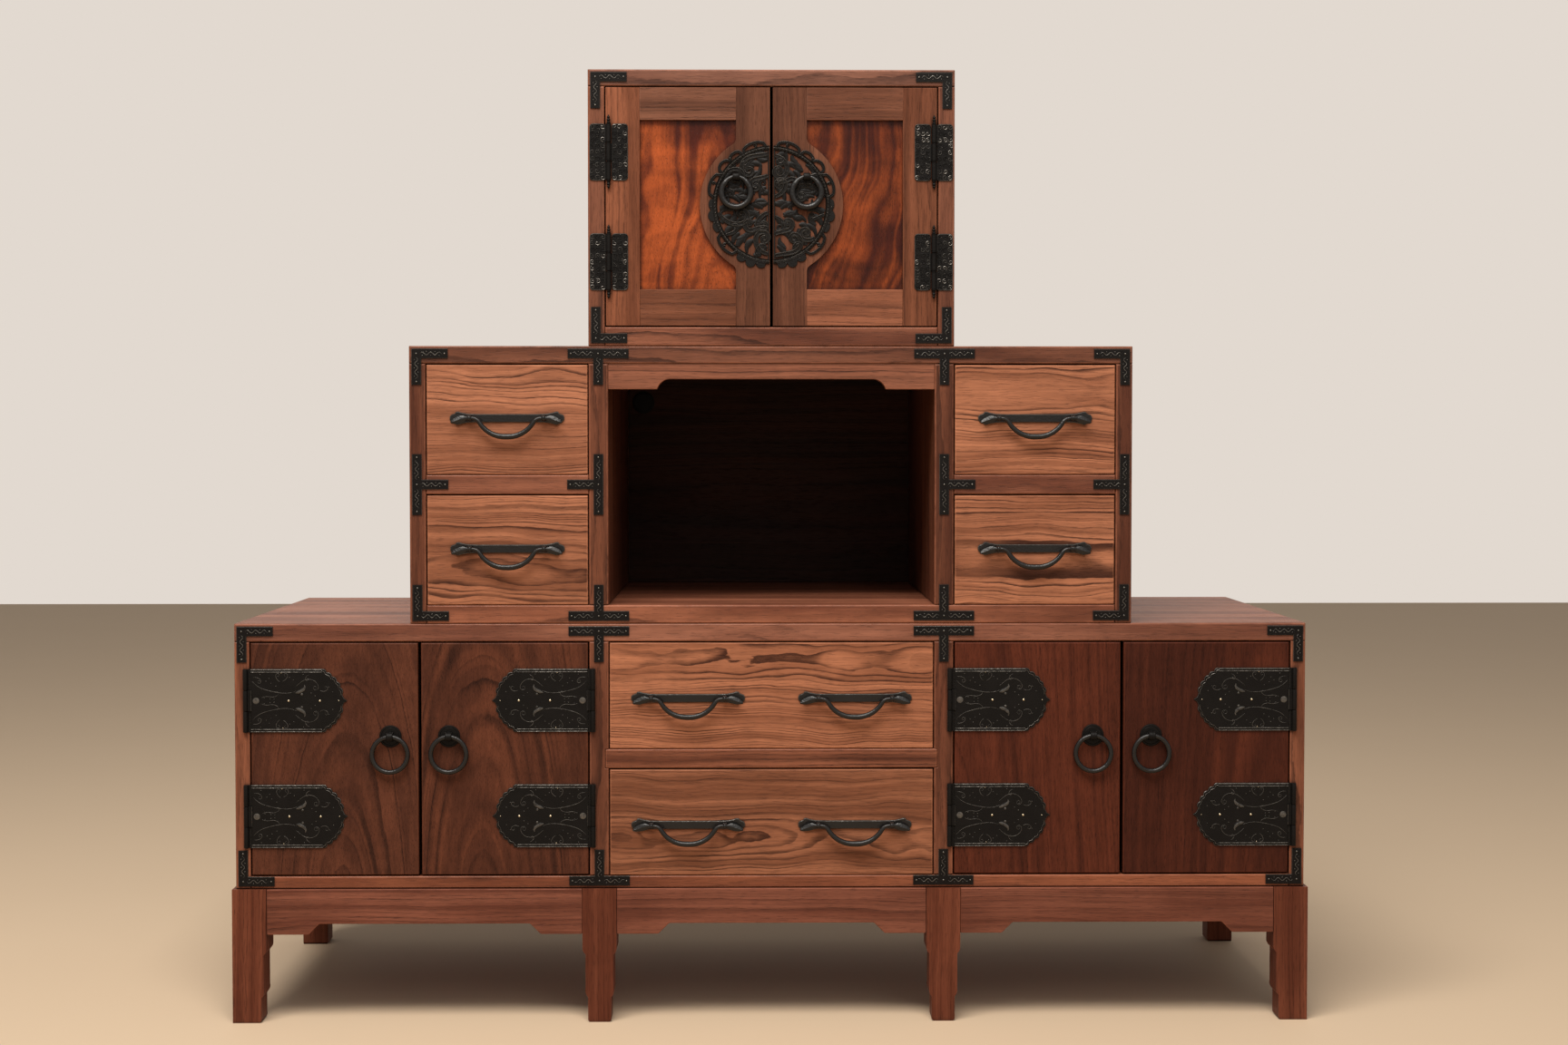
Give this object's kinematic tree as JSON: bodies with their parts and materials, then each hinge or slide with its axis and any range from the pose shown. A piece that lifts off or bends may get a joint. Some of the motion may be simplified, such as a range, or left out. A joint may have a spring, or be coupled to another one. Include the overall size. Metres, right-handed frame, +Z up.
{
  "type": "tansu cabinet",
  "caption": "Stepped tansu cabinet: hinged doors, drawers and an open niche in three stacked cases on a low stand, with black iron fittings.",
  "frame": {"origin": "middle of the cabinet's footprint, on the floor", "axes": "+X to the right along the front, -Y out of the front, +Z up"},
  "size_m": [1.107, 0.4112, 0.976],
  "materials": {
    "case_wood": "walnut, rubbed satin finish",
    "stand_wood": "walnut, rubbed satin finish",
    "back_wood": "plain dark boards, matt",
    "door_wood": "walnut with upright figure, satin",
    "frame_wood": "walnut, satin",
    "panel_wood": "red-brown figured wood, satin",
    "drawer_wood": "walnut with level figure, satin",
    "forged_iron": "forged black iron, semi-matt"
  },
  "bodies": {
    "carcass": {"stand_legs": "stand_wood", "stand_aprons": "stand_wood", "base_top": "case_wood", "base_floor": "case_wood", "base_uprights": "case_wood", "base_back": "back_wood", "base_drawer_rail": "case_wood", "middle_top": "case_wood", "middle_floor": "case_wood", "middle_uprights": "case_wood", "middle_back": "back_wood", "middle_drawer_shelves": "case_wood", "niche_header": "case_wood", "upper_top": "case_wood", "upper_floor": "case_wood", "upper_sides": "case_wood", "upper_back": "back_wood", "corner_irons": "forged_iron", "tee_irons": "forged_iron", "hinge_frame_leaves": "forged_iron"},
    "base_door_far_left": {"base_door_far_left": "door_wood", "base_door_far_left_irons": "forged_iron"},
    "base_door_far_left_ring": {"base_door_far_left_ring": "forged_iron"},
    "base_door_near_left": {"base_door_near_left": "door_wood", "base_door_near_left_irons": "forged_iron"},
    "base_door_near_left_ring": {"base_door_near_left_ring": "forged_iron"},
    "base_door_near_right": {"base_door_near_right": "door_wood", "base_door_near_right_irons": "forged_iron"},
    "base_door_near_right_ring": {"base_door_near_right_ring": "forged_iron"},
    "base_door_far_right": {"base_door_far_right": "door_wood", "base_door_far_right_irons": "forged_iron"},
    "base_door_far_right_ring": {"base_door_far_right_ring": "forged_iron"},
    "upper_door_left": {"upper_door_left_frame": "frame_wood", "upper_door_left_panel": "panel_wood", "upper_door_left_irons": "forged_iron"},
    "upper_door_left_ring": {"upper_door_left_ring": "forged_iron"},
    "upper_door_right": {"upper_door_right_frame": "frame_wood", "upper_door_right_panel": "panel_wood", "upper_door_right_irons": "forged_iron"},
    "upper_door_right_ring": {"upper_door_right_ring": "forged_iron"},
    "small_drawer_left_upper": {"small_drawer_left_upper": "drawer_wood", "small_drawer_left_upper_pull": "forged_iron"},
    "small_drawer_left_upper_bail": {"small_drawer_left_upper_bail": "forged_iron"},
    "small_drawer_left_lower": {"small_drawer_left_lower": "drawer_wood", "small_drawer_left_lower_pull": "forged_iron"},
    "small_drawer_left_lower_bail": {"small_drawer_left_lower_bail": "forged_iron"},
    "small_drawer_right_upper": {"small_drawer_right_upper": "drawer_wood", "small_drawer_right_upper_pull": "forged_iron"},
    "small_drawer_right_upper_bail": {"small_drawer_right_upper_bail": "forged_iron"},
    "small_drawer_right_lower": {"small_drawer_right_lower": "drawer_wood", "small_drawer_right_lower_pull": "forged_iron"},
    "small_drawer_right_lower_bail": {"small_drawer_right_lower_bail": "forged_iron"},
    "big_drawer_upper": {"big_drawer_upper": "drawer_wood", "big_drawer_upper_pulls": "forged_iron"},
    "big_drawer_upper_left_bail": {"big_drawer_upper_left_bail": "forged_iron"},
    "big_drawer_upper_right_bail": {"big_drawer_upper_right_bail": "forged_iron"},
    "big_drawer_lower": {"big_drawer_lower": "drawer_wood", "big_drawer_lower_pulls": "forged_iron"},
    "big_drawer_lower_left_bail": {"big_drawer_lower_left_bail": "forged_iron"},
    "big_drawer_lower_right_bail": {"big_drawer_lower_right_bail": "forged_iron"}
  },
  "joints": [
    {"name": "base_door_far_left_hinge", "type": "hinge", "parent": "carcass", "child": "base_door_far_left", "pos_m": [-0.5383, -0.19714, 0.27175], "axis": [0, 0, -1], "range_deg": [0, 115]},
    {"name": "base_door_far_left_ring_swing", "type": "hinge", "parent": "base_door_far_left", "child": "base_door_far_left_ring", "pos_m": [-0.39075, -0.20008, 0.29525], "axis": [-1, 0, 0], "range_deg": [0, 165]},
    {"name": "base_door_near_left_hinge", "type": "hinge", "parent": "carcass", "child": "base_door_near_left", "pos_m": [-0.1832, -0.19714, 0.27175], "axis": [0, 0, 1], "range_deg": [0, 90]},
    {"name": "base_door_near_left_ring_swing", "type": "hinge", "parent": "base_door_near_left", "child": "base_door_near_left_ring", "pos_m": [-0.33075, -0.20008, 0.29525], "axis": [-1, 0, 0], "range_deg": [0, 165]},
    {"name": "base_door_near_right_hinge", "type": "hinge", "parent": "carcass", "child": "base_door_near_right", "pos_m": [0.1832, -0.19714, 0.27175], "axis": [0, 0, -1], "range_deg": [0, 90]},
    {"name": "base_door_near_right_ring_swing", "type": "hinge", "parent": "base_door_near_right", "child": "base_door_near_right_ring", "pos_m": [0.33075, -0.20008, 0.29525], "axis": [-1, 0, 0], "range_deg": [0, 165]},
    {"name": "base_door_far_right_hinge", "type": "hinge", "parent": "carcass", "child": "base_door_far_right", "pos_m": [0.5383, -0.19714, 0.27175], "axis": [0, 0, 1], "range_deg": [0, 115]},
    {"name": "base_door_far_right_ring_swing", "type": "hinge", "parent": "base_door_far_right", "child": "base_door_far_right_ring", "pos_m": [0.39075, -0.20008, 0.29525], "axis": [-1, 0, 0], "range_deg": [0, 165]},
    {"name": "upper_door_left_hinge", "type": "hinge", "parent": "carcass", "child": "upper_door_left", "pos_m": [-0.1657, -0.19737, 0.83675], "axis": [0, 0, -1], "range_deg": [0, 115]},
    {"name": "upper_door_left_ring_swing", "type": "hinge", "parent": "upper_door_left", "child": "upper_door_left_ring", "pos_m": [-0.036, -0.20008, 0.86675], "axis": [-1, 0, 0], "range_deg": [0, 165]},
    {"name": "upper_door_right_hinge", "type": "hinge", "parent": "carcass", "child": "upper_door_right", "pos_m": [0.1657, -0.19737, 0.83675], "axis": [0, 0, 1], "range_deg": [0, 115]},
    {"name": "upper_door_right_ring_swing", "type": "hinge", "parent": "upper_door_right", "child": "upper_door_right_ring", "pos_m": [0.036, -0.20008, 0.86675], "axis": [-1, 0, 0], "range_deg": [0, 165]},
    {"name": "small_drawer_left_upper_slide", "type": "slide", "parent": "carcass", "child": "small_drawer_left_upper", "axis": [0, -1, 0], "range_m": [0, 0.29]},
    {"name": "small_drawer_left_upper_bail_swing", "type": "hinge", "parent": "small_drawer_left_upper", "child": "small_drawer_left_upper_bail", "pos_m": [-0.27, -0.20258, 0.62125], "axis": [-1, 0, 0], "range_deg": [0, 150]},
    {"name": "small_drawer_left_lower_slide", "type": "slide", "parent": "carcass", "child": "small_drawer_left_lower", "axis": [0, -1, 0], "range_m": [0, 0.29]},
    {"name": "small_drawer_left_lower_bail_swing", "type": "hinge", "parent": "small_drawer_left_lower", "child": "small_drawer_left_lower_bail", "pos_m": [-0.27, -0.20258, 0.48775], "axis": [-1, 0, 0], "range_deg": [0, 150]},
    {"name": "small_drawer_right_upper_slide", "type": "slide", "parent": "carcass", "child": "small_drawer_right_upper", "axis": [0, -1, 0], "range_m": [0, 0.29]},
    {"name": "small_drawer_right_upper_bail_swing", "type": "hinge", "parent": "small_drawer_right_upper", "child": "small_drawer_right_upper_bail", "pos_m": [0.27, -0.20258, 0.62125], "axis": [-1, 0, 0], "range_deg": [0, 150]},
    {"name": "small_drawer_right_lower_slide", "type": "slide", "parent": "carcass", "child": "small_drawer_right_lower", "axis": [0, -1, 0], "range_m": [0, 0.29]},
    {"name": "small_drawer_right_lower_bail_swing", "type": "hinge", "parent": "small_drawer_right_lower", "child": "small_drawer_right_lower_bail", "pos_m": [0.27, -0.20258, 0.48775], "axis": [-1, 0, 0], "range_deg": [0, 150]},
    {"name": "big_drawer_upper_slide", "type": "slide", "parent": "carcass", "child": "big_drawer_upper", "axis": [0, -1, 0], "range_m": [0, 0.29]},
    {"name": "big_drawer_upper_left_bail_swing", "type": "hinge", "parent": "big_drawer_upper", "child": "big_drawer_upper_left_bail", "pos_m": [-0.0857, -0.20258, 0.33413], "axis": [-1, 0, 0], "range_deg": [0, 150]},
    {"name": "big_drawer_upper_right_bail_swing", "type": "hinge", "parent": "big_drawer_upper", "child": "big_drawer_upper_right_bail", "pos_m": [0.0857, -0.20258, 0.33413], "axis": [-1, 0, 0], "range_deg": [0, 150]},
    {"name": "big_drawer_lower_slide", "type": "slide", "parent": "carcass", "child": "big_drawer_lower", "axis": [0, -1, 0], "range_m": [0, 0.29]},
    {"name": "big_drawer_lower_left_bail_swing", "type": "hinge", "parent": "big_drawer_lower", "child": "big_drawer_lower_left_bail", "pos_m": [-0.0857, -0.20258, 0.20338], "axis": [-1, 0, 0], "range_deg": [0, 150]},
    {"name": "big_drawer_lower_right_bail_swing", "type": "hinge", "parent": "big_drawer_lower", "child": "big_drawer_lower_right_bail", "pos_m": [0.0857, -0.20258, 0.20338], "axis": [-1, 0, 0], "range_deg": [0, 150]}
  ]
}
